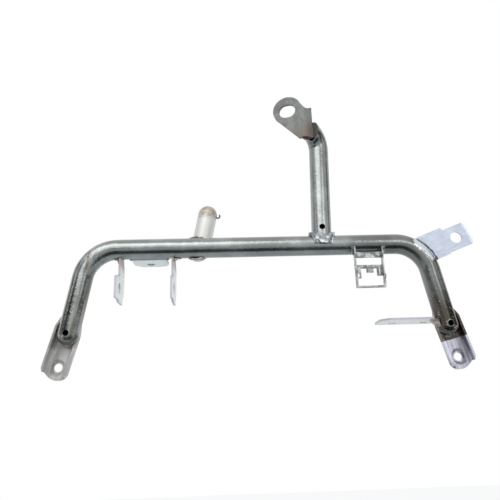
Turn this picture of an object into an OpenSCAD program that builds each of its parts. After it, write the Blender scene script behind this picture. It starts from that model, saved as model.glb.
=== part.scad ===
// Motorcycle fairing stay. A bent tube frame with welded brackets.
// The bar runs along X, the legs hang down, +Y points to the rear.
// The origin is the left foot's bolt hole, on the face that seats against the frame.

/* [Tube] */
// outer diameter of every tube
tube_d = 22.2; // [20:0.1:25.4]
// wall of every tube
tube_wall = 1.6; // [1.2:0.1:2.5]
// half the distance between the corners where the bar's and the legs' axes meet
corner_x = 183.5; // [179:0.5:188]
// centreline radius of the two corner bends
corner_r = 37; // [34:0.5:40]
// lean of each leg outward from vertical, degrees
leg_tilt = 10.3; // [9:0.1:12]
// corner to the centre of the leg's domed end, along the leg
leg_len = 93.5; // [90:0.5:97]
// vent hole in each dome and in the upright
vent_d = 6.4; // [4:0.1:8]

/* [Feet] */
// lean of each foot outward from vertical, degrees
foot_tilt = 15; // [13:0.5:16]
// from the dome's centre to the bolt hole: down along the foot, and outward across it
bolt_reach = 34; // [32:0.5:38]
bolt_side = 4; // [2:0.5:4.5]
// bolt hole in each foot
bolt_d = 9; // [6:0.1:10]
// pressed sheet of the feet, tabs, hanger, shelf and corner plate
sheet_t = 2.3; // [1.5:0.1:2.6]
// gap between the tube and the foot's back
foot_gap = 0.1; // [0.05:0.05:0.4]
// half the foot's width, and how far its middle sits outside the dome's centre
foot_half = 13.7; // [13:0.1:15]
foot_mid = 3; // [2:0.1:3.5]
// outer corner radius of the channel
foot_corner_r = 7; // [5:0.5:9]
// above the dome's centre: where the foot's back starts and its side walls reach full depth
foot_top = 24; // [20:0.5:27]
foot_full = 7; // [4:0.5:9]
// radius of the foot's lower end
foot_end_r = 14.5; // [14:0.5:16]
// pressed dimple around the bolt hole: mouth, floor and depth
dimple_mouth_d = 17.5; // [15:0.5:18]
dimple_floor_d = 12; // [11:0.5:14]
dimple_depth = 3.2; // [2:0.1:4]

/* [Upright] */
// position along the bar and lean to the right in degrees
upright_x = 71.8; // [60:0.2:80]
upright_lean = 2; // [0:0.1:4]
// straight length, bend radius, bend angle and heading of the bend
upright_len = 115; // [105:0.5:120]
upright_bend_r = 20; // [18:0.5:24]
upright_bend = 75; // [70:1:80]
upright_heading = 50; // [40:1:60]
// degrees of the bend that are filled at its end
upright_plug = 8; // [6:1:12]
// height of the vent hole above the bar's axis
upright_vent_z = 18.7; // [17:0.1:40]

/* [Top lug] */
// centre of the lug's ring: along the bar, behind it and above it
lug_x = 40; // [36:0.2:44]
lug_y = -12; // [-14:0.2:-10]
lug_z = 163.9; // [160:0.2:168]
// the lug faces this far to the left, degrees
lug_yaw = 20; // [14:1:24]
// thickness of the lug
lug_t = 3.2; // [2.5:0.1:4]
// outer radius of the ring
lug_r = 17; // [15:0.5:19]
// oval hole: width and height
lug_slot_w = 19.6; // [18:0.1:22]
lug_slot_h = 16.6; // [14:0.1:18]
// how far the hole sits below the middle of the ring
lug_slot_drop = 1.4; // [0:0.1:2]
// start, inner radius, angle and length of the margin that is bent to the rear
lug_bend_x = 17; // [14:0.5:19]
lug_bend_r = 5; // [4:0.5:7]
lug_bend = 55; // [40:1:60]
lug_margin = 6.2; // [4:0.2:8]

/* [Stub] */
// position along the bar and lean to the right in degrees
stub_x = -66.5; // [-70:0.2:-60]
stub_lean = 11.5; // [8:0.5:14]
// straight part behind the bar's axis, bend radius and height of the dome's centre
stub_run = 12; // [12:0.5:16]
stub_bend_r = 23; // [22:0.5:28]
stub_top = 52.5; // [46:0.5:56]
// height of the small wire hook above the dome's centre
hook_z = 1; // [-8:0.5:2]

/* [Tabs and hanger] */
// the two hanging tabs: position along the bar, and how far the right one sits to the rear
tab_left_x = -149.6; // [-151:0.2:-147]
tab_right_x = -92.7; // [-96:0.2:-90]
tab_shift = 8; // [0:0.5:12]
// hole in each tab: diameter, position behind the bar's axis and below it
tab_hole_d = 11.5; // [8:0.1:13]
tab_hole_y = -4; // [-6:0.5:2]
tab_hole_z = -44; // [-47:0.5:-42]
// hanger plate: hole and thickness line below the bar's axis
hanger_x = -119; // [-122:0.5:-117]
hanger_hole_d = 9; // [6:0.1:10]
hanger_hole_y = 19; // [17:0.5:21]
hanger_z = -12.2; // [-13:0.1:-11.4]

/* [Clip bracket] */
// thin sheet of the clip bracket
clip_t = 1.2; // [0.8:0.1:1.4]
// outer faces of its side walls
clip_left = 105; // [102:0.5:107]
clip_right = 136.2; // [134:0.2:140]
// front edge of the side walls before the bar's axis, and their depth
clip_front = 11; // [9:0.5:12]
clip_depth = 7; // [5:0.5:8]
clip_bottom = -50.2; // [-54:0.2:-47]
// lower edge of the strip under the bar, and upper edge of the comb
clip_strip_z = -16.5; // [-18:0.5:-13]
clip_comb_z = -24.6; // [-26:0.2:-22]

/* [Corner plate] */
// slope of the plate's long edges, degrees
plate_slope = 21.4; // [18:0.2:24]
// far end and hole, measured along the slope from the bar's middle
plate_end = 229; // [226:0.5:236]
plate_hole_u = 210; // [208:0.5:213]
// where its wide root steps down to the narrower end
plate_step = 198.5; // [196:0.5:201]
plate_hole_n = -75.6; // [-77:0.2:-74]
plate_hole_d = 13.1; // [8:0.1:14]

/* [Shelf] */
// free end, rear edge and lower face of the shelf
shelf_left = 130; // [124:0.5:134]
shelf_rear = 32; // [30:0.5:38]
shelf_z = -85; // [-87:0.5:-81]
// two holes in line along the bar
shelf_hole_d = 8; // [5:0.1:9]
shelf_hole_y = 22.5; // [20:0.5:24]
shelf_hole_a = 147.6; // [142:0.2:150]
shelf_hole_b = 182.5; // [179:0.2:184]

/* [Welds] */
// how far a bead stands off the tubes
bead = 3; // [2:0.1:4]

/* [Hidden] */
$fn = 72;
// a bend is this much slimmer than the straight tube, and runs on into it by lap degrees
ease = 0.03;
lap = 1;
tube_r = tube_d / 2;
inner_r = tube_r - tube_wall;
turn = 90 - leg_tilt;
bend_x = corner_x - corner_r * tan(turn / 2);
foot_back = tube_r + foot_gap + sheet_t;
shelf_right = corner_x + 13;
seat_y = foot_back + dimple_depth;
bolt_x = corner_x + leg_len * sin(leg_tilt) + bolt_reach * sin(foot_tilt) + bolt_side * cos(foot_tilt);
bolt_z = bolt_side * sin(foot_tilt) - leg_len * cos(leg_tilt) - bolt_reach * cos(foot_tilt);
lug_outer_r = lug_bend_r + lug_t;
bead_r = tube_r + bead;
// start of the corner plate, inside the tube's outline
plate_root = 158;
// the tabs' beads run between these angles round the bar
tab_bead_from = -15;
tab_bead_to = 60;
// legs of the clip's comb: start from the left wall, width, reach down
clip_legs = [[0.5, 6, 15], [12.6, 7.7, 8.7], [23.9, 7, 12.3]];

// Moves from the frame of the bar's middle to the frame of the left foot's bolt.
module from_bolt() {
    translate([bolt_x, -seat_y, -bolt_z])
        children();
}

// Frame of the right leg: origin at the corner, Z up along the leg.
module on_leg() {
    translate([corner_x, 0, 0])
        rotate([0, -leg_tilt, 0])
            children();
}

// Puts a shape drawn in X and Z upright, so its thickness runs along Y about y = 0.
module facing_front(t) {
    rotate([90, 0, 0])
        linear_extrude(t, center = true)
            children();
}

// Puts a shape drawn in Y and Z upright, so its thickness runs along X about x = 0.
module facing_side(t) {
    rotate([90, 0, 90])
        linear_extrude(t, center = true)
            children();
}

// A round tube bend that starts upward at the origin and turns toward +X.
module elbow(r, bend_r, angle) {
    translate([bend_r, 0, 0])
        rotate([90, 0, 0])
            rotate([0, 0, 180 - angle - lap])
                rotate_extrude(angle = angle + 2 * lap)
                    translate([bend_r, 0])
                        circle(r - ease);
}

// Frame at the far end of such a bend, Z along the tube.
module after_elbow(bend_r, angle) {
    translate([bend_r * (1 - cos(angle)), 0, bend_r * sin(angle)])
        rotate([0, angle, 0])
            children();
}

// MAIN BAR

// One corner bend and leg as a solid rod with a domed end.
module leg_rod(r) {
    translate([bend_x, 0, 0])
        rotate([0, 90, 0])
            elbow(r, corner_r, turn);
    on_leg() {
        translate([0, 0, -leg_len])
            cylinder(r = r, h = leg_len - corner_r * tan(turn / 2));
        translate([0, 0, -leg_len])
            sphere(r);
    }
}

module bar_rod(r) {
    translate([-bend_x, 0, 0])
        rotate([0, 90, 0])
            cylinder(r = r, h = 2 * bend_x);
}

module frame_rod(r) {
    bar_rod(r);
    leg_rod(r);
    mirror([1, 0, 0])
        leg_rod(r);
}

module leg_vent() {
    on_leg()
        translate([0, 0, -leg_len + 1])
            rotate([90, 0, 0])
                cylinder(d = vent_d, h = 2 * tube_r);
}

module main_bar() {
    color([0.36, 0.39, 0.39])
        from_bolt()
            difference() {
                frame_rod(tube_r);
                frame_rod(inner_r);
                leg_vent();
                mirror([1, 0, 0])
                    leg_vent();
            }
}

// FEET

// Frame of the right foot: origin at the dome's centre, Z up along the foot.
module on_foot() {
    on_leg()
        translate([0, 0, -leg_len])
            rotate([0, leg_tilt - foot_tilt, 0])
                children();
}

// Section of the channel, drawn solid: two side walls with a round-cornered back.
module rounded_u(half, deep, corner) {
    translate([foot_mid - half, 0])
        square([2 * half, deep - corner]);
    translate([foot_mid - half + corner, 0])
        square([2 * (half - corner), deep]);
    for (side = [-1, 1])
        translate([foot_mid + side * (half - corner), deep - corner])
            circle(corner);
}

// Front outline of the foot: its inner top corner is cut, its lower end is round.
module foot_outline() {
    wide = foot_half + 1;
    inner = foot_mid - foot_half;
    polygon([[foot_mid + wide, -bolt_reach], [foot_mid + wide, foot_top + 1], [inner + 7, foot_top + 1],
        [inner, -1], [inner - 1, -4], [inner - 1, -bolt_reach]]);
    translate([bolt_side - 1, 1.2 - bolt_reach])
        circle(foot_end_r);
}

// Side outline of the foot: the side walls rise from the back over a slanted top.
module foot_profile() {
    low = -bolt_reach - foot_end_r - 1;
    polygon([[0, low], [0, foot_full], [foot_back, foot_top], [foot_back, low]]);
}

module foot_block(less) {
    translate([0, 0, -bolt_reach - foot_end_r - 1])
        linear_extrude(bolt_reach + foot_end_r + foot_top + 1)
            rounded_u(foot_half - less, foot_back - less, foot_corner_r - less);
}

// The foot's outer shape, filled.
module foot_envelope() {
    on_foot()
        intersection() {
            foot_block(0);
            facing_front(4 * foot_half)
                foot_outline();
            facing_side(4 * foot_half)
                foot_profile();
        }
}

module foot() {
    slope = (dimple_mouth_d - dimple_floor_d) / 2;
    difference() {
        union() {
            difference() {
                foot_envelope();
                on_foot()
                    foot_block(sheet_t);
                leg_rod(tube_r + foot_gap);
            }
            on_foot()
                translate([bolt_side, foot_back - 0.5, -bolt_reach])
                    rotate([-90, 0, 0])
                        cylinder(d1 = dimple_mouth_d + slope / 2, d2 = dimple_floor_d + 1.8,
                            h = dimple_depth + 0.5);
        }
        on_foot()
            translate([bolt_side, foot_back - sheet_t, -bolt_reach])
                rotate([-90, 0, 0]) {
                    cylinder(d1 = dimple_mouth_d, d2 = dimple_floor_d, h = dimple_depth);
                    cylinder(d = bolt_d, h = 3 * dimple_depth);
                }
    }
}

module foot_left() {
    color([0.66, 0.66, 0.66])
        from_bolt()
            mirror([1, 0, 0])
                foot();
}

module foot_right() {
    color([0.66, 0.66, 0.70])
        from_bolt()
            foot();
}

// UPRIGHT

// The upright's own frame, Z along the tube.
module on_upright() {
    translate([upright_x, 0, 0])
        rotate([0, upright_lean, 0])
            rotate([0, 0, 180 + upright_heading])
                children();
}

module upright_rod(r, past) {
    on_upright() {
        translate([0, 0, past])
            cylinder(r = r, h = upright_len - past);
        translate([0, 0, upright_len]) {
            elbow(r, upright_bend_r, upright_bend);
            after_elbow(upright_bend_r, upright_bend)
                cylinder(r = r, h = 24);
        }
    }
}

// The bore of the upright. It stops short of the bend's end, which is filled by the weld.
module upright_bore() {
    on_upright() {
        translate([0, 0, 2])
            cylinder(r = inner_r, h = upright_len - 2);
        translate([0, 0, upright_len])
            elbow(inner_r, upright_bend_r, upright_bend - upright_plug);
    }
}

module upright_tube() {
    color([0.40, 0.42, 0.42])
        from_bolt()
            difference() {
                upright_rod(tube_r, 3);
                upright_bore();
                bar_rod(tube_r);
                translate([upright_x, 0, upright_vent_z])
                    rotate([90, 0, 0])
                        cylinder(d = vent_d, h = 2 * tube_r);
                lug_front_space(lug_margin);
            }
}

// TOP LUG

// The lug's own frame: X across its face, Y to the rear, Z up.
module on_lug() {
    translate([lug_x, lug_y, lug_z])
        rotate([0, 0, -lug_yaw])
            children();
}

// Plan section of the lug: a flat face, then a margin bent to the rear.
module lug_section(near, far) {
    translate([-lug_r - 1, near])
        square([lug_bend_x + lug_r + 1, far - near]);
    translate([lug_bend_x, lug_outer_r])
        rotate([0, 0, -90])
            intersection() {
                difference() {
                    circle(lug_outer_r - near - ease);
                    circle(lug_outer_r - far + ease);
                }
                polygon([[0, 0], [60, -1], [60 * cos(lug_bend + lap), 60 * sin(lug_bend + lap)]]);
            }
    translate([lug_bend_x, lug_outer_r])
        rotate([0, 0, lug_bend])
            translate([0, near - lug_outer_r])
                square([lug_margin, far - near]);
}

// Front outline of the lug, drawn about the oval hole.
module lug_outline() {
    edge = lug_bend_x + lug_outer_r + lug_margin;
    circle(lug_r);
    polygon([[-lug_r * 0.86, -lug_r * 0.52], [12.4, -38.5], [14.9, -38.8], [17, -37.5], [edge, -37.5],
        [edge, 2], [27, 2], [25.3, 0.2], [23, -1], [21, -0.6], [19, 1.6],
        [lug_r * 0.65, lug_r * 0.76], [0, 0]]);
}

module lug_slot() {
    run = lug_slot_w - lug_slot_h;
    for (side = [-1, 1])
        translate([side * run / 2, 0])
            circle(d = lug_slot_h);
    square([run, lug_slot_h], center = true);
}

// The bent sheet before its outline is cut.
module lug_sheet() {
    on_lug()
        translate([0, 0, -40])
            linear_extrude(60)
                lug_section(0, lug_t);
}

module top_lug() {
    color([0.52, 0.53, 0.53])
        from_bolt()
            difference() {
                intersection() {
                    lug_sheet();
                    on_lug()
                        facing_front(60)
                            lug_outline();
                }
                on_lug()
                    translate([0, 0, -lug_slot_drop])
                        facing_front(20)
                            lug_slot();
            }
}

// Everything in front of the lug's rear face, with the bent margin's rear face carried on.
module lug_front_space(width) {
    on_lug()
        translate([0, 0, -60])
            linear_extrude(100) {
                translate([-40, -60])
                    square([lug_bend_x + 40, 60 + lug_t]);
                translate([lug_bend_x, lug_outer_r])
                    rotate([0, 0, lug_bend])
                        translate([-30, -60])
                            square([30 + width, 60 - lug_outer_r + lug_t]);
            }
}

// STUB

// The stub's own frame, leaning about the rear direction.
module on_stub() {
    translate([stub_x, 0, 0])
        rotate([0, stub_lean, 0])
            children();
}

module stub_rod(r, past) {
    rise = stub_top - stub_bend_r;
    on_stub()
        rotate([0, -90, 0])
            rotate([-90, 0, 0]) {
                translate([0, 0, past])
                    cylinder(r = r, h = stub_run - past);
                translate([0, 0, stub_run]) {
                    elbow(r, stub_bend_r, 90);
                    after_elbow(stub_bend_r, 90) {
                        cylinder(r = r, h = rise);
                        translate([0, 0, rise])
                            sphere(r);
                    }
                }
            }
}

module stub_tube() {
    color([0.72, 0.72, 0.70])
        from_bolt()
            difference() {
                stub_rod(tube_r, 3);
                stub_rod(inner_r, 2);
                bar_rod(tube_r);
            }
}

// Small wire hook on the right of the stub's dome.
module stub_hook() {
    wire_r = 0.9;
    hook_r = 2.2;
    color([0.35, 0.35, 0.35])
        from_bolt()
            difference() {
                on_stub()
                    translate([tube_r + hook_r - 1, stub_run + stub_bend_r, stub_top + hook_z])
                        rotate([90, 0, 0])
                            rotate([0, 0, -150])
                                rotate_extrude(angle = 210)
                                    translate([hook_r, 0])
                                        circle(wire_r, $fn = 24);
                stub_rod(tube_r, 3);
            }
}

// TABS AND HANGER PLATE

// Side outline of a hanging tab, Y to the right and Z up from the bar's axis.
// Below the stem everything sits further to the rear by shift.
module tab_outline(shift) {
    difference() {
        polygon([[-4, -3], [13, -3], [18 + shift, -16], [20 + shift, -20], [20 + shift, -48],
            [15 + shift, -52], [14 + shift, -59], [-4 + shift, -59], [-6 + shift, -58], [-6 + shift, -57],
            [-21 + shift, -57], [-21 + shift, -36], [-18 + shift, -33], [-9 + shift, -33], [-2, -28]]);
        translate([tab_hole_y + shift, tab_hole_z])
            circle(d = tab_hole_d);
    }
}

module tab(x, shift) {
    color([0.86, 0.87, 0.85])
        from_bolt()
            difference() {
                translate([x, 0, 0])
                    facing_side(sheet_t)
                        tab_outline(shift);
                frame_rod(tube_r);
            }
}

module tab_left() {
    tab(tab_left_x, 0);
}

module tab_right() {
    tab(tab_right_x, tab_shift);
}

// Horizontal plate between the tabs, welded under the bar.
module hanger_plate() {
    color([0.88, 0.88, 0.87])
        from_bolt()
            difference() {
                translate([hanger_x, 0, hanger_z])
                    linear_extrude(sheet_t)
                        difference() {
                            polygon([[-18.5, 2], [19.5, 2], [19.5, 22], [16, 28], [8, 30],
                                [-10, 30], [-18.5, 22]]);
                            translate([0, hanger_hole_y])
                                circle(d = hanger_hole_d);
                        }
                bar_rod(tube_r);
            }
}

// CLIP BRACKET

// The rear wall of the clip: a strip under the bar and a comb of three legs.
module clip_comb() {
    wide = clip_right - clip_left;
    translate([clip_left, clip_strip_z])
        square([wide, -clip_strip_z - 5]);
    translate([clip_left, clip_comb_z - 4])
        square([wide, 4]);
    difference() {
        for (leg = clip_legs)
            translate([clip_left + leg[0], clip_comb_z - leg[2]])
                square([leg[1], leg[2] - 1]);
        translate([clip_left + 2.6, clip_comb_z - 13.5])
            square([2, 4]);
        translate([clip_left + 26.6, clip_comb_z - 11])
            square([1, 7]);
    }
}

module clip_bracket() {
    wide = clip_right - clip_left;
    color([0.58, 0.58, 0.57])
        from_bolt()
            difference() {
                union() {
                    translate([0, clip_depth - clip_front - clip_t / 2, 0])
                        facing_front(clip_t)
                            clip_comb();
                    for (x = [clip_left, clip_right - clip_t])
                        translate([x, -clip_front, clip_bottom])
                            cube([clip_t, clip_depth, -5 - clip_bottom]);
                    translate([clip_left, -clip_front, clip_bottom])
                        cube([wide, clip_depth, clip_t]);
                    translate([clip_right - 0.1, clip_depth / 2 - clip_front, -38])
                        rotate([0, 90, 0])
                            cylinder(r1 = 4, r2 = 3, h = 1);
                }
                bar_rod(tube_r);
            }
}

// CORNER PLATE

// Frame of the plate: X along its slope, Z across it, seen from the front.
module on_slope() {
    rotate([0, -plate_slope, 0])
        children();
}

module corner_plate() {
    color([0.75, 0.77, 0.80])
        from_bolt()
            difference() {
                on_slope()
                    facing_front(sheet_t)
                        difference() {
                            polygon([[plate_root, -58.8], [plate_step, -58.8], [plate_step + 1, -62.3],
                                [plate_end + 1, -62.3], [plate_end - 3, -89], [plate_step - 2.5, -89],
                                [plate_step - 3.5, -90.1], [plate_root + 12, -90.1]]);
                            translate([plate_hole_u, plate_hole_n])
                                circle(d = plate_hole_d);
                        }
                frame_rod(tube_r);
            }
}

// SHELF

module shelf_plate() {
    color([0.80, 0.80, 0.80])
        from_bolt()
            difference() {
                translate([0, 0, shelf_z])
                    linear_extrude(sheet_t)
                        difference() {
                            polygon([[shelf_left, 7], [shelf_left + 9, -1], [shelf_right, -1],
                                [shelf_right, shelf_rear - 5], [shelf_right - 5, shelf_rear],
                                [shelf_left + 3, shelf_rear], [shelf_left, shelf_rear - 3]]);
                            for (x = [shelf_hole_a, shelf_hole_b])
                                translate([x, shelf_hole_y])
                                    circle(d = shelf_hole_d);
                        }
                frame_rod(tube_r);
                foot_envelope();
                foot_bead();
            }
}

// WELDS

// Section of the bead between the foot and the tube: distance from the tube's axis, depth.
module foot_bead_section() {
    polygon([[7.5, foot_back], [tube_r + 1.7, foot_back], [tube_r + 1.8, 8.5],
        [tube_r + 0.5, 5.5], [tube_r - 1.6, 4.5], [7.5, 6]]);
}

// The bead runs round the tube's end and a little way up both sides, inside the foot.
module foot_bead() {
    difference() {
        intersection() {
            on_leg()
                translate([0, 0, -leg_len]) {
                    rotate([-90, 0, 0])
                        rotate_extrude(angle = 180)
                            foot_bead_section();
                    for (side = [0, 1])
                        mirror([side, 0, 0])
                            linear_extrude(9)
                                foot_bead_section();
                }
            on_foot()
                foot_block(sheet_t);
        }
        leg_rod(tube_r);
    }
}

module weld_foot_left() {
    color([0.45, 0.42, 0.40])
        from_bolt()
            mirror([1, 0, 0])
                foot_bead();
}

module weld_foot_right() {
    color([0.45, 0.42, 0.42])
        from_bolt()
            foot_bead();
}

// Saddle bead where the upright stands on the bar.
module weld_upright() {
    color([0.70, 0.71, 0.72])
        from_bolt()
            difference() {
                intersection() {
                    translate([upright_x, 0, -1.5])
                        rotate([0, upright_lean, 0])
                            cylinder(r = bead_r + 1.5, h = 2 * bead_r);
                    bar_rod(bead_r + 1.5);
                }
                upright_rod(tube_r, -bead_r);
                bar_rod(tube_r);
            }
}

// Saddle bead where the stub leaves the bar's rear.
module weld_stub() {
    color([0.55, 0.52, 0.50])
        from_bolt()
            difference() {
                intersection() {
                    on_stub()
                        translate([0, -bead, 0])
                            rotate([-90, 0, 0])
                                cylinder(r = bead_r, h = 2 * bead_r);
                    bar_rod(bead_r);
                }
                stub_rod(tube_r, -bead_r);
                bar_rod(tube_r);
            }
}

// Bead around the upright's end, behind and beside the lug.
module weld_top_lug() {
    color([0.48, 0.40, 0.36])
        from_bolt()
            difference() {
                on_upright()
                    translate([0, 0, upright_len])
                        after_elbow(upright_bend_r, upright_bend)
                            translate([0, 0, 1.6 * bead + 0.3])
                                rotate_extrude()
                                    polygon([[tube_r, -1.6 * bead], [tube_r + 0.8 * bead, -0.6 * bead],
                                        [tube_r + 0.8 * bead, 0.8 * bead], [tube_r, 1.2 * bead]]);
                lug_front_space(30);
                lug_sheet();
            }
}

// A fillet that runs part of the way round the bar and leans on a plate at x.
module bar_fillet(x, side, reach, rise, from, to) {
    difference() {
        translate([x, 0, 0])
            rotate([0, 90, 0])
                rotate([0, 0, from])
                    rotate_extrude(angle = to - from)
                        polygon([[tube_r - 0.5, 0], [tube_r + rise, 0],
                            [tube_r + rise * 0.35, side * reach * 0.4], [tube_r - 0.5, side * reach]]);
        frame_rod(tube_r);
    }
}

module weld_tab_left() {
    color([0.50, 0.44, 0.42])
        from_bolt()
            bar_fillet(tab_left_x - sheet_t / 2, -1, 7, 6, tab_bead_from, tab_bead_to);
}

module weld_tab_right() {
    color([0.50, 0.44, 0.42])
        from_bolt()
            bar_fillet(tab_right_x + sheet_t / 2, 1, 10, 4.5, tab_bead_from, tab_bead_to);
}

// Two short beads at the ends of the hanger plate.
module weld_hanger() {
    color([0.70, 0.68, 0.66])
        from_bolt() {
            bar_fillet(hanger_x - 18.5, -1, 4, 2.5, 5, 35);
            bar_fillet(hanger_x + 19.5, 1, 4, 2.5, 5, 35);
        }
}

// Beads at the roots of the clip's side walls.
module weld_clip() {
    color([0.62, 0.60, 0.57])
        from_bolt() {
            bar_fillet(clip_left, -1, 5, 3, -70, -10);
            bar_fillet(clip_right, 1, 5, 3, -70, -10);
        }
}

// Beads along both faces of the corner plate's root.
module weld_corner_plate() {
    color([0.60, 0.58, 0.56])
        from_bolt()
            difference() {
                for (side = [-1, 1])
                    translate([bend_x, side * bead * 0.9, -corner_r])
                        rotate([90, 0, 0])
                            rotate([0, 0, 20])
                                rotate_extrude(angle = 39)
                                    translate([corner_r + tube_r - 0.8, 0])
                                        circle(bead);
                frame_rod(tube_r);
                cube([1000, sheet_t, 1000], center = true);
            }
}

// Fillet under the shelf, round the leg's inner side.
module weld_shelf() {
    color([0.50, 0.46, 0.44])
        from_bolt()
            difference() {
                on_leg()
                    translate([0, 0, shelf_z / cos(leg_tilt) - 8])
                        rotate([0, 0, 160])
                            rotate_extrude(angle = 60)
                                polygon([[tube_r, 0], [tube_r + 5.5, 8], [tube_r + 5.5, 12], [tube_r, 12]]);
                translate([0, -100, shelf_z])
                    cube([400, 200, 100]);
                foot_envelope();
                foot_bead();
            }
}

main_bar();
foot_left();
foot_right();
upright_tube();
top_lug();
stub_tube();
stub_hook();
tab_left();
tab_right();
hanger_plate();
clip_bracket();
corner_plate();
shelf_plate();
weld_foot_left();
weld_foot_right();
weld_upright();
weld_stub();
weld_top_lug();
weld_tab_left();
weld_tab_right();
weld_hanger();
weld_clip();
weld_corner_plate();
weld_shelf();
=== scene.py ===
# A motorcycle fairing stay, seen from the front and a little below.
import math

import bpy
from mathutils import Matrix, Vector

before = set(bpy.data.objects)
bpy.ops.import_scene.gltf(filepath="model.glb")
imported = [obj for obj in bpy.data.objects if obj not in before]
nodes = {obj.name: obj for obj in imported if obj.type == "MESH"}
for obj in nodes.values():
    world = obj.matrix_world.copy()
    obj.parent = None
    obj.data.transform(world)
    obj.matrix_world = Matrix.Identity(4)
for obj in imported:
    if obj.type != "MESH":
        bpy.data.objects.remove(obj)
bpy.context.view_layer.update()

# TUBES
# The bar with its two legs and the upright are 22.2 mm steel tube, bent and welded, and sprayed a
# glossy gunmetal that came out uneven. The right leg is scorched brown-black near its foot, the
# left leg has brown lines, and the corner plate's weld has spattered the right bend. The right side
# is darker, partly from the right leg's darker paint and partly as painted shade where the bar's
# right half reflects a dimmer room. A dark crescent under each leg's dome is painted shadow.
bar_middle = Vector((0.212882, -0.0167, 0.123799))
right_bend_centre = (0.365500, 0, 0.086799)
right_bend_face = 0.0378
plate_weld_middle = (0.402270, 0, 0.117653)
plate_weld_reach = 0.0185
leg_vents = ((0.01266, 0, 0.03281), (0.4131, 0, 0.03281))
leg_lean = math.radians(10.3)
gunmetal_dark = (0.22, 0.235, 0.225, 1)
gunmetal_light = (0.31, 0.33, 0.325, 1)
right_dark_paint_and_shade = (0.60, 0.60, 0.58, 1)
scorched_brown = (0.070, 0.060, 0.048, 1)
line_brown = (0.15, 0.13, 0.10, 1)
fleck_cream = (0.62, 0.58, 0.50, 1)
spatter_silver = (0.62, 0.65, 0.68, 1)
spatter_burnt = (0.11, 0.085, 0.05, 1)
vent_lip_grey = (0.30, 0.31, 0.30, 1)
painted_dome_gap_shadow = (0.075, 0.07, 0.06, 1)


def add_node(tree, kind, inputs=None, **settings):
    """Adds one shader node. An input given a socket is linked to it, any other is set."""
    made = tree.nodes.new("ShaderNode" + kind)
    for setting, value in settings.items():
        setattr(made, setting, value)
    for socket, value in (inputs or {}).items():
        if isinstance(value, bpy.types.NodeSocket):
            tree.links.new(value, made.inputs[socket])
        else:
            made.inputs[socket].default_value = value
    return made


def calc(tree, operation, *values, **settings):
    """One sum on numbers or sockets. Multiplied masks are 1 only where both are."""
    made = add_node(tree, "Math", dict(enumerate(values)), operation=operation, **settings)
    return made.outputs[0]


def on_stay(tree):
    """The place on the stay, in metres."""
    return add_node(tree, "TexCoord").outputs["Object"]


def new_effect(name, output, **inputs):
    """Starts an effect that several finishes share: named inputs and one output."""
    group = bpy.data.node_groups.new(name, "ShaderNodeTree")
    for label, start in inputs.items():
        kind = "NodeSocketVector" if isinstance(start, tuple) else "NodeSocketFloat"
        socket = group.interface.new_socket(label, in_out="INPUT", socket_type=kind)
        socket.default_value = start
    group.interface.new_socket(output, in_out="OUTPUT", socket_type="NodeSocketFloat")
    given = group.nodes.new("NodeGroupInput").outputs
    result = group.nodes.new("NodeGroupOutput").inputs
    return group, given, result


def use_effect(tree, effect, **values):
    """Puts a shared effect into a finish with its own values."""
    return add_node(tree, "Group", values, node_tree=effect).outputs[0]


def new_finish(name, metallic, roughness):
    """Starts a finish on its own shader."""
    finish = bpy.data.materials.new(name)
    finish.use_nodes = True
    shader = finish.node_tree.nodes["Principled BSDF"]
    shader.inputs["Metallic"].default_value = metallic
    shader.inputs["Roughness"].default_value = roughness
    return finish, finish.node_tree, shader


def lay_over(tree, mask, under, over, blend="MIX"):
    """One colour laid over another where the mask is 1."""
    return add_node(tree, "Mix", {"Factor": mask, "A": under, "B": over},
                    data_type="RGBA", blend_type=blend).outputs["Result"]


def ramp(tree, value, start=0, end=1, low=0, high=1):
    """Turns start to end into low to high."""
    return add_node(tree, "MapRange", {"Value": value, "From Min": start, "From Max": end,
                                       "To Min": low, "To Max": high}).outputs["Result"]


def give_finish(finish, *names):
    """Sprays the named pieces with a finish, in place of the plain one they come with."""
    for name in names:
        nodes[name].data.materials.clear()
        nodes[name].data.materials.append(finish)


# Patches: soft uneven areas of paint. From and To set how much of the surface they take.
patches, given, result = new_effect("patches", "Mask", Scale=30, From=0.4, To=0.6)
cloud = add_node(patches, "TexNoise", {"Vector": on_stay(patches), "Scale": given["Scale"],
                                       "Detail": 6, "Roughness": 0.6})
soft_part = add_node(patches, "MapRange", {"Value": cloud.outputs["Fac"],
                                           "From Min": given["From"], "From Max": given["To"]},
                     interpolation_type="SMOOTHSTEP")
patches.links.new(soft_part.outputs["Result"], result["Mask"])

# Speckle: small pale flecks, as dried spatter leaves on paint. Most cells stay empty.
speckle, given, result = new_effect("speckle", "Mask", Scale=300, Size=0.2)
cells = add_node(speckle, "TexVoronoi", {"Vector": on_stay(speckle), "Scale": given["Scale"],
                                         "Randomness": 1})
inside_fleck = calc(speckle, "LESS_THAN", cells.outputs["Distance"], given["Size"])
picked_cell = calc(speckle, "GREATER_THAN", cells.outputs["Color"], 0.72)
speckle.links.new(calc(speckle, "MULTIPLY", inside_fleck, picked_cell), result["Mask"])


def ragged(tree, distance, given):
    """Shakes a distance by a fine noise, so that the edge drawn at it isn't straight."""
    noise = add_node(tree, "TexNoise", {"Vector": on_stay(tree), "Scale": 260})
    either_side = calc(tree, "SUBTRACT", noise.outputs["Fac"], 0.5)
    return calc(tree, "MULTIPLY_ADD", either_side, given["Ragged"], distance)


def soft_edge(tree, depth, given):
    """1 above a depth of 0 and 0 below it, with an edge as wide as Soft."""
    share = calc(tree, "DIVIDE", depth, given["Soft"])
    return calc(tree, "ADD", share, 0.5, use_clamp=True)


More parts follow.
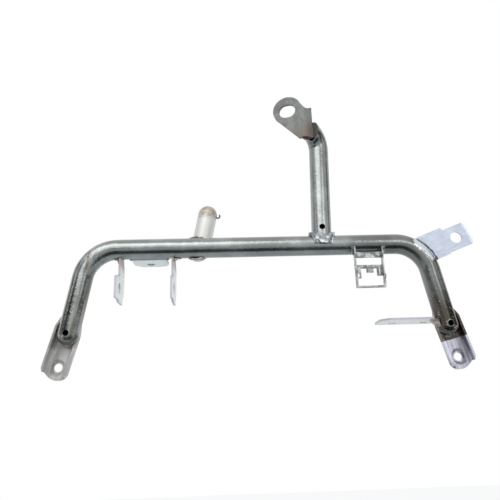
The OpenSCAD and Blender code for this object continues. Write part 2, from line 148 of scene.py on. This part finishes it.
# Zone: 1 up to the distance At along the direction Along, 0 past it.
zone, given, result = new_effect("zone", "Mask", Along=(0, 0, 1), At=0, Soft=0.001, Ragged=0.001)
along = add_node(zone, "VectorMath", {0: on_stay(zone), 1: given["Along"]}, operation="DOT_PRODUCT")
short_of = calc(zone, "SUBTRACT", given["At"], ragged(zone, along.outputs["Value"], given))
zone.links.new(soft_edge(zone, short_of, given), result["Mask"])

# Ring: 1 between two distances from a centre, as seen from the front.
ring, given, result = new_effect("ring", "Mask", Centre=(0, 0, 0), Inner=0.003, Outer=0.004,
                                 Soft=0.0005, Ragged=0.0005)
from_centre = add_node(ring, "VectorMath", {0: on_stay(ring), 1: given["Centre"]},
                       operation="SUBTRACT")
seen_flat = add_node(ring, "VectorMath", {0: from_centre.outputs[0], 1: (1, 0, 1)},
                     operation="MULTIPLY")
radius = add_node(ring, "VectorMath", {0: seen_flat.outputs[0]}, operation="LENGTH")
shaken = ragged(ring, radius.outputs["Value"], given)
past_inner = soft_edge(ring, calc(ring, "SUBTRACT", shaken, given["Inner"]), given)
within_outer = soft_edge(ring, calc(ring, "SUBTRACT", given["Outer"], shaken), given)
ring.links.new(calc(ring, "MULTIPLY", past_inner, within_outer), result["Mask"])

# Streaks: long thin uneven lines along one direction, as brushing or rolling leaves.
streaks, given, result = new_effect("streaks", "Mask", Turn=(0, 0, 0), Scale=(800, 800, 40))
turned = add_node(streaks, "VectorRotate", {"Vector": on_stay(streaks)}, rotation_type="EULER_XYZ")
streaks.links.new(given["Turn"], turned.inputs["Rotation"])
stretched = add_node(streaks, "VectorMath", {0: turned.outputs[0], 1: given["Scale"]},
                     operation="MULTIPLY")
lines = add_node(streaks, "TexNoise", {"Vector": stretched.outputs[0], "Scale": 1, "Detail": 3})
streaks.links.new(lines.outputs["Fac"], result["Mask"])

# Grain: the fine, shallow unevenness of sprayed paint or rolled sheet, as a height.
grain, given, result = new_effect("grain", "Height", Fine=900)
fine = add_node(grain, "TexNoise", {"Vector": on_stay(grain), "Scale": given["Fine"], "Detail": 4})
broad = add_node(grain, "TexNoise", {"Vector": on_stay(grain), "Scale": 60, "Detail": 2})
uneven_height = calc(grain, "MULTIPLY_ADD", broad.outputs["Fac"], 2.5, fine.outputs["Fac"])
grain.links.new(uneven_height, result["Height"])


def roughen(tree, shader, fine, strength, depth):
    """Gives a finish its grain as a bump."""
    bump = add_node(tree, "Bump", {"Height": use_effect(tree, grain, Fine=fine),
                                   "Strength": strength, "Distance": depth})
    tree.links.new(bump.outputs["Normal"], shader.inputs["Normal"])


gunmetal, tree, shader = new_finish("gunmetal_paint", 0.9, 0.2)
shader.inputs["Coat Weight"].default_value = 0.5
shader.inputs["Coat Roughness"].default_value = 0.06
uneven = use_effect(tree, patches, Scale=22)
colour = lay_over(tree, uneven, gunmetal_dark, gunmetal_light)
# The right side is made darker: partly the right leg's darker paint, partly painted shade where the
# bar's right half reflects a dimmer room.
right_side_dark_and_shaded = use_effect(tree, zone, Along=(-1, 0, 0), At=-0.31, Soft=0.12, Ragged=0.10)
colour = lay_over(tree, right_side_dark_and_shaded, colour, right_dark_paint_and_shade, "MULTIPLY")

near_foot = use_effect(tree, zone, At=0.060, Soft=0.030, Ragged=0.030)
on_right_leg = use_effect(tree, zone, Along=(-1, 0, 0), At=-0.36, Soft=0.01)
scorched = calc(tree, "MULTIPLY", near_foot, on_right_leg)
colour = lay_over(tree, scorched, colour, scorched_brown)

on_left_leg = use_effect(tree, zone, Along=(1, 0, 0), At=0.045, Soft=0.03)
leg_lines = ramp(tree, use_effect(tree, streaks, Turn=(0, -leg_lean, 0), Scale=(420, 300, 12)),
                 0.50, 0.62)
colour = lay_over(tree, calc(tree, "MULTIPLY", leg_lines, on_left_leg), colour, line_brown)

flecks = use_effect(tree, speckle, Scale=420, Size=0.26)
colour = lay_over(tree, calc(tree, "MULTIPLY", flecks, scorched), colour, fleck_cream)

on_bend_face = use_effect(tree, ring, Centre=right_bend_centre, Inner=right_bend_face, Outer=0.0600,
                          Soft=0.0010, Ragged=0.0080)
by_plate = use_effect(tree, ring, Centre=plate_weld_middle, Inner=-1, Outer=plate_weld_reach,
                      Soft=0.0010, Ragged=0.0060)
low_end = use_effect(tree, zone, Along=(-0.71, 0, 0.71), At=-0.21443, Soft=0.002, Ragged=0.006)
spatter = lay_over(tree, low_end, spatter_silver, spatter_burnt)
colour = lay_over(tree, calc(tree, "MULTIPLY", on_bend_face, by_plate), colour, spatter)

for vent in leg_vents:
    lip = use_effect(tree, ring, Centre=vent, Inner=0.0028, Outer=0.0041)
    colour = lay_over(tree, lip, colour, vent_lip_grey)
    # A dark crescent under each leg's dome, round the vent: painted shadow of the gap between the
    # dome and the foot.
    dome_gap_shadow_ring = use_effect(tree, ring, Centre=vent, Inner=0.0085, Outer=0.0112,
                          Soft=0.0020, Ragged=0.0020)
    below_vent = use_effect(tree, zone, At=0.0320, Soft=0.004)
    colour = lay_over(tree, calc(tree, "MULTIPLY", dome_gap_shadow_ring, below_vent), colour, painted_dome_gap_shadow)
tree.links.new(colour, shader.inputs["Base Color"])
tree.links.new(ramp(tree, uneven, low=0.15, high=0.26), shader.inputs["Roughness"])
roughen(tree, shader, fine=420, strength=0.45, depth=0.0004)
give_finish(gunmetal, "main_bar", "upright_tube")

# LEFT FOOT
# A pressed steel channel welded round the end of the left leg. It is pale silver-grey with soft
# streaks down the sheet, stained brown by the heat of the weld above.
foot_lean = math.radians(15)
foot_grey = (0.34, 0.335, 0.315, 1)
foot_pale = (0.62, 0.61, 0.58, 1)
heat_brown = (0.24, 0.215, 0.19, 1)
heat_starts = 0.0195
heat_strength = 0.6

pale_foot, tree, shader = new_finish("left_foot_silver", 0.3, 0.34)
lines = use_effect(tree, streaks, Turn=(0, -foot_lean, 0), Scale=(240, 60, 26))
sheet = lay_over(tree, ramp(tree, lines, 0.36, 0.64), foot_grey, foot_pale)
above = use_effect(tree, zone, Along=(0, 0, -1), At=-heat_starts, Soft=0.004, Ragged=0.006)
stained = lay_over(tree, calc(tree, "MULTIPLY", above, heat_strength), sheet, heat_brown)
tree.links.new(stained, shader.inputs["Base Color"])
roughen(tree, shader, fine=700, strength=0.12, depth=0.0004)
give_finish(pale_foot, "foot_left")

# RIGHT FOOT
# The same pressed channel on the right leg, sprayed brown-black while its lower part was taped
# off: gloss with flecks down to a sharp slanted line, bare lavender-grey steel below it.
steel_dark = (0.30, 0.30, 0.34, 1)
steel_light = (0.70, 0.70, 0.78, 1)
spray_dark = (0.075, 0.065, 0.055, 1)
spray_fleck = (0.45, 0.40, 0.34, 1)
tape_slant = (-0.248, 0, 0.969)
tape_line = -0.0865

masked_foot, tree, shader = new_finish("right_foot_masked", 0.8, 0.2)
bare = use_effect(tree, zone, Along=tape_slant, At=tape_line, Soft=0.0004, Ragged=0.0008)
lines = use_effect(tree, streaks, Turn=(0, foot_lean, 0), Scale=(220, 90, 30))
steel = lay_over(tree, ramp(tree, lines, 0.36, 0.64), steel_dark, steel_light)
flecks = use_effect(tree, speckle, Scale=420, Size=0.24)
sprayed = lay_over(tree, flecks, spray_dark, spray_fleck)
tree.links.new(lay_over(tree, bare, sprayed, steel), shader.inputs["Base Color"])
tree.links.new(ramp(tree, bare, low=0.2, high=0.3), shader.inputs["Roughness"])
roughen(tree, shader, fine=500, strength=0.25, depth=0.0005)
give_finish(masked_foot, "foot_right")

# TOP LUG
# A bent 3.2 mm sheet with an oval hole, welded to the end of the upright. Its paint is worn to a
# mid grey, and browned toward the weld.
lug_grey_dark = (0.14, 0.135, 0.125, 1)
lug_grey_light = (0.21, 0.215, 0.20, 1)
lug_brown = (0.18, 0.14, 0.115, 1)
toward_weld = (-0.5, 0, 0.866)
brown_starts = 0.0935

worn_paint, tree, shader = new_finish("lug_paint", 0.2, 0.6)
grey = lay_over(tree, use_effect(tree, patches, Scale=70), lug_grey_dark, lug_grey_light)
by_weld = use_effect(tree, zone, Along=toward_weld, At=brown_starts, Soft=0.012, Ragged=0.012)
tree.links.new(lay_over(tree, by_weld, grey, lug_brown), shader.inputs["Base Color"])
roughen(tree, shader, fine=600, strength=0.15, depth=0.0004)
give_finish(worn_paint, "top_lug")

# STUB
# A short tube that leaves the rear of the bar and turns up to a dome. It is painted pale as a
# painted reflection of the bright room, and a darker brownish-grey on the dome. A bent piece of
# dark wire is fixed beside the dome.
stub_painted_sheen = (0.70, 0.69, 0.64, 1)
dome_brown = (0.36, 0.32, 0.25, 1)
dome_tan = (0.52, 0.48, 0.42, 1)
down_stub = (-0.2, 0, -0.98)
dome_starts = -0.1985

stub_sheen_finish, tree, shader = new_finish("stub_with_painted_reflection", 0.2, 0.4)
cap = use_effect(tree, zone, Along=down_stub, At=dome_starts, Soft=0.006, Ragged=0.010)
brown = lay_over(tree, use_effect(tree, patches, Scale=130), dome_brown, dome_tan)
# The pale body is a painted reflection of the bright room; the dome is a darker brownish-grey.
tree.links.new(lay_over(tree, cap, stub_painted_sheen, brown), shader.inputs["Base Color"])
give_finish(stub_sheen_finish, "stub_tube")

dark_wire, tree, shader = new_finish("dark_wire", 0.7, 0.35)
shader.inputs["Base Color"].default_value = (0.10, 0.10, 0.10, 1)
give_finish(dark_wire, "stub_hook")

# TABS, HANGER AND SHELF
# Plates cut from 2.3 mm sheet and welded under the bar and beside the right leg. Their faces are
# off-white, their cut edges lavender-grey, and the tabs are brown-pink near their beads.
sheet_white = (0.83, 0.85, 0.81, 1)
cut_edge_grey = (0.52, 0.51, 0.55, 1)
weld_pink = (0.42, 0.35, 0.32, 1)
tab_weld_height = 0.103
no_weld_height = 1.0

for finish_name, names, across_face, pink_above in (
    ("tab_sheet", ("tab_left", "tab_right"), (0, 1, 1), tab_weld_height),
    ("level_sheet", ("hanger_plate", "shelf_plate"), (1, 1, 0), no_weld_height),
):
    sheet_finish, tree, shader = new_finish(finish_name, 0.1, 0.42)
    facing = add_node(tree, "TexCoord").outputs["Normal"]
    sideways = add_node(tree, "VectorMath", {0: facing, 1: across_face}, operation="MULTIPLY")
    on_edge = add_node(tree, "VectorMath", {0: sideways.outputs[0]}, operation="LENGTH")
    pale = lay_over(tree, on_edge.outputs["Value"], sheet_white, cut_edge_grey)
    near_weld = use_effect(tree, zone, Along=(0, 0, -1), At=-pink_above, Soft=0.008, Ragged=0.008)
    tree.links.new(lay_over(tree, near_weld, pale, weld_pink), shader.inputs["Base Color"])
    give_finish(sheet_finish, *names)

# CLIP BRACKET
# A frame bent from thin steel strip, with a comb of three legs, welded under the bar. The steel
# is mid grey with dark and light places.
clip_dark = (0.13, 0.13, 0.13, 1)
clip_light = (0.42, 0.42, 0.42, 1)

clip_steel, tree, shader = new_finish("clip_steel", 0.7, 0.3)
grey = lay_over(tree, use_effect(tree, patches, Scale=160), clip_dark, clip_light)
tree.links.new(grey, shader.inputs["Base Color"])
give_finish(clip_steel, "clip_bracket")

# CORNER PLATE
# A flat plate with one hole, cut from 2.3 mm sheet and welded to the right bend. It is
# lavender-silver with fine rolling lines, and painted whiter toward its far end as painted glare.
plate_slope = math.radians(21.4)
plate_dark = (0.47, 0.50, 0.59, 1)
plate_light = (0.58, 0.62, 0.70, 1)
plate_painted_glare = (0.86, 0.88, 0.92, 1)
toward_bend = (-0.931, 0, -0.365)
glare_starts = -0.468

plate_steel, tree, shader = new_finish("plate_steel", 0.25, 0.4)
lines = use_effect(tree, streaks, Turn=(0, plate_slope, 0), Scale=(90, 500, 500))
silver = lay_over(tree, ramp(tree, lines, 0.35, 0.65), plate_dark, plate_light)
# The whitening toward the far end is a painted highlight of glare.
far_end_glare = use_effect(tree, zone, Along=toward_bend, At=glare_starts, Soft=0.003, Ragged=0.006)
tree.links.new(lay_over(tree, far_end_glare, silver, plate_painted_glare), shader.inputs["Base Color"])
give_finish(plate_steel, "corner_plate")

# BRIGHT BEADS
# Beads of clean silver weld that hold the upright, the corner plate, the hanger and the clip
# bracket. They were laid by hand, so they are lumpy. The corner plate's is burnt at its low end.
bead_dark = (0.25, 0.265, 0.265, 1)
bead_light = (0.52, 0.54, 0.55, 1)
bead_burnt = (0.13, 0.085, 0.06, 1)
up_the_bend = (-1, 0, 1)
burnt_below = -0.288
lump_size = 0.007
mostly_inward = 0.85
remesh_size = 0.0004

silver_bead, tree, shader = new_finish("silver_bead", 0.85, 0.24)
silver = lay_over(tree, use_effect(tree, patches, Scale=240), bead_dark, bead_light)
low_end = use_effect(tree, zone, Along=up_the_bend, At=burnt_below, Soft=0.003, Ragged=0.006)
tree.links.new(lay_over(tree, low_end, silver, bead_burnt), shader.inputs["Base Color"])
bead_lumps = bpy.data.textures.new("bead_lumps", "CLOUDS")
bead_lumps.noise_scale = lump_size


def make_lumpy(bead, rounding, lump_height):
    """Rounds a plain fillet off and makes it uneven, mostly inward of the plain one."""
    closed = bead.modifiers.new("closed", "REMESH")
    closed.mode = "VOXEL"
    closed.voxel_size = remesh_size
    closed.use_smooth_shade = True
    rounded = bead.modifiers.new("rounded", "SMOOTH")
    rounded.factor = 0.5
    rounded.iterations = rounding
    lumpy = bead.modifiers.new("uneven", "DISPLACE")
    lumpy.texture = bead_lumps
    lumpy.texture_coords = "LOCAL"
    lumpy.mid_level = mostly_inward
    lumpy.strength = lump_height


for name in ("weld_upright", "weld_corner_plate", "weld_hanger", "weld_clip"):
    give_finish(silver_bead, name)
    make_lumpy(nodes[name], rounding=8, lump_height=0.0024)

# BURNT BEADS
# Brown, heat-stained beads round the stub, the tabs, the shelf and the feet, and under the lug.
# They are laid by hand like the bright ones, a little flatter.
burnt_dark = (0.20, 0.155, 0.135, 1)
burnt_light = (0.48, 0.42, 0.39, 1)

burnt_bead, tree, shader = new_finish("burnt_bead", 0.4, 0.38)
brown = lay_over(tree, use_effect(tree, patches, Scale=200), burnt_dark, burnt_light)
tree.links.new(brown, shader.inputs["Base Color"])
for name in ("weld_stub", "weld_top_lug", "weld_tab_left", "weld_tab_right", "weld_shelf",
             "weld_foot_left", "weld_foot_right"):
    give_finish(burnt_bead, name)
    make_lumpy(nodes[name], rounding=6, lump_height=0.0020)

# FLOOR
# A plain pale floor well below the stay, because the camera looks up at it. The camera sees it
# nearly white, and it keeps the stay's shadow.
floor_half = 6
floor_drop = -0.9
seen_white = 0.8

floor_mesh = bpy.data.meshes.new("floor")
floor_mesh.from_pydata([(-floor_half, -floor_half, 0), (floor_half, -floor_half, 0),
                        (floor_half, floor_half, 0), (-floor_half, floor_half, 0)],
                       [], [(0, 1, 2, 3)])
floor = bpy.data.objects.new("floor", floor_mesh)
floor.location = (0.21, 0, floor_drop)
bpy.context.scene.collection.objects.link(floor)
floor_paint, tree, shader = new_finish("floor", 0, 0.9)
shader.inputs["Base Color"].default_value = (0.88, 0.88, 0.88, 1)
white = add_node(tree, "Emission")
rays = add_node(tree, "LightPath").outputs
share = calc(tree, "MULTIPLY", rays["Is Camera Ray"], seen_white)
mix = add_node(tree, "MixShader", {"Fac": share, 1: shader.outputs[0], 2: white.outputs[0]})
tree.links.new(mix.outputs[0], tree.nodes["Material Output"].inputs["Surface"])
floor.data.materials.append(floor_paint)

# WORLD
# A plain white room. The camera, mirrors and glass see it white, and as light it is a little
# dimmer and cooler.
world = bpy.data.worlds.new("world")
bpy.context.scene.world = world
world.use_nodes = True
tree = world.node_tree
tree.nodes.clear()
seen = add_node(tree, "Background", {"Color": (1, 1, 1, 1)})
as_light = add_node(tree, "Background", {"Color": (0.9, 0.95, 1.0, 1), "Strength": 0.85})
rays = add_node(tree, "LightPath").outputs
camera_or_mirror = calc(tree, "ADD", rays["Is Camera Ray"], rays["Is Glossy Ray"])
looked_at = calc(tree, "ADD", camera_or_mirror, rays["Is Transmission Ray"], use_clamp=True)
mix = add_node(tree, "MixShader", {"Fac": looked_at, 1: as_light.outputs[0], 2: seen.outputs[0]})
add_node(tree, "OutputWorld", {"Surface": mix.outputs[0]})

# LIGHTS AND CARDS
# One wide lamp from above the front lights the paint. Soft cards, seen only in reflections, give
# the tubes their bright and dark streaks, and each fades to clear at its rim.
stay_middle = Vector((0.21, 0.0, 0.12))
fade_width = 0.32


def face_stay(piece):
    """Turns a lamp or a card toward the middle of the stay."""
    piece.rotation_euler = (piece.location - stay_middle).to_track_quat("Z", "Y").to_euler()


key = bpy.data.lights.new("key", "AREA")
key.shape = "RECTANGLE"
key.size, key.size_y = 1.8, 1.2
key.energy = 7
key_lamp = bpy.data.objects.new("key", key)
key_lamp.location = (0.45, -1.3, 1.1)
face_stay(key_lamp)
key_lamp.visible_glossy = False
bpy.context.scene.collection.objects.link(key_lamp)

for name, place, wide, high, strength in (
    ("card_window", (-0.20, -0.95, 0.92), 1.8, 1.00, 3.7),
    ("card_front_right", (0.75, -1.00, 0.48), 0.40, 0.60, 3.6),
    ("card_front", (0.11, -1.10, 0.46), 0.30, 0.55, 2.4),
    ("card_front_left", (-0.30, -1.03, 0.39), 0.60, 0.36, 3.0),
    ("card_dark_left", (-0.63, -0.71, 0.46), 0.50, 0.75, 0.03),
    ("card_beside_right_leg", (-0.55, -0.61, 0.166), 1.70, 0.45, 0.02),
    ("card_beside_left_leg", (1.09, -0.31, 0.137), 1.70, 0.42, 0.03),
    ("card_low", (0.21, -0.62, -0.60), 3.2, 1.05, 0.02),
    ("card_right", (1.38, -0.05, 0.50), 0.44, 0.85, 0.02),
    ("card_left", (-0.98, -0.02, 0.50), 0.44, 0.85, 0.03),
    ("card_left_front", (-0.95, -0.80, 0.45), 0.34, 0.9, 2.2),
):
    glow = bpy.data.materials.new(name)
    glow.use_nodes = True
    tree = glow.node_tree
    tree.nodes.clear()
    on_card = add_node(tree, "TexCoord").outputs["Generated"]
    across_card = add_node(tree, "SeparateXYZ", {0: on_card})
    fades = []
    for axis in ("X", "Y"):
        from_rim = calc(tree, "PINGPONG", across_card.outputs[axis], 0.5)
        fades.append(add_node(tree, "MapRange", {"Value": from_rim, "From Max": fade_width},
                              interpolation_type="SMOOTHSTEP").outputs[0])
    bright = add_node(tree, "Emission", {"Color": (0.96, 0.98, 1.0, 1), "Strength": strength})
    clear = add_node(tree, "BsdfTransparent")
    mix = add_node(tree, "MixShader", {"Fac": calc(tree, "MULTIPLY", *fades),
                                       1: clear.outputs[0], 2: bright.outputs[0]})
    add_node(tree, "OutputMaterial", {"Surface": mix.outputs[0]})

    card_mesh = bpy.data.meshes.new(name)
    card_mesh.from_pydata([(-wide / 2, -high / 2, 0), (wide / 2, -high / 2, 0),
                           (wide / 2, high / 2, 0), (-wide / 2, high / 2, 0)],
                          [], [(0, 1, 2, 3)])
    card_mesh.materials.append(glow)
    card = bpy.data.objects.new(name, card_mesh)
    card.location = place
    face_stay(card)
    card.visible_camera = False
    card.visible_diffuse = False
    card.visible_shadow = False
    card.visible_transmission = False
    bpy.context.scene.collection.objects.link(card)

# CAMERA
# At the photo's angle: it stands 2 degrees to the left of straight on and looks up at the stay
# by 17 degrees, with a slight roll.
yaw, pitch, roll = math.radians(2.1), math.radians(17), math.radians(-1.82)
distance = 0.5952
aimed_at = bar_middle + Vector((-0.00813, 0, -0.00334))

forward = Vector((math.sin(yaw) * math.cos(pitch), math.cos(yaw) * math.cos(pitch),
                  math.sin(pitch)))
level = Vector((math.cos(yaw), -math.sin(yaw), 0))
upward = level.cross(forward)
right = level * math.cos(roll) + upward * math.sin(roll)
up = upward * math.cos(roll) - level * math.sin(roll)
camera = bpy.data.cameras.new("camera")
camera.sensor_width = 36
camera.lens = 38.88
camera_object = bpy.data.objects.new("camera", camera)
camera_object.matrix_world = Matrix.Translation(aimed_at - forward * distance) @ Matrix(
    (right, up, -forward)).transposed().to_4x4()
bpy.context.scene.collection.objects.link(camera_object)
bpy.context.scene.camera = camera_object
bpy.context.scene.view_settings.view_transform = "Standard"
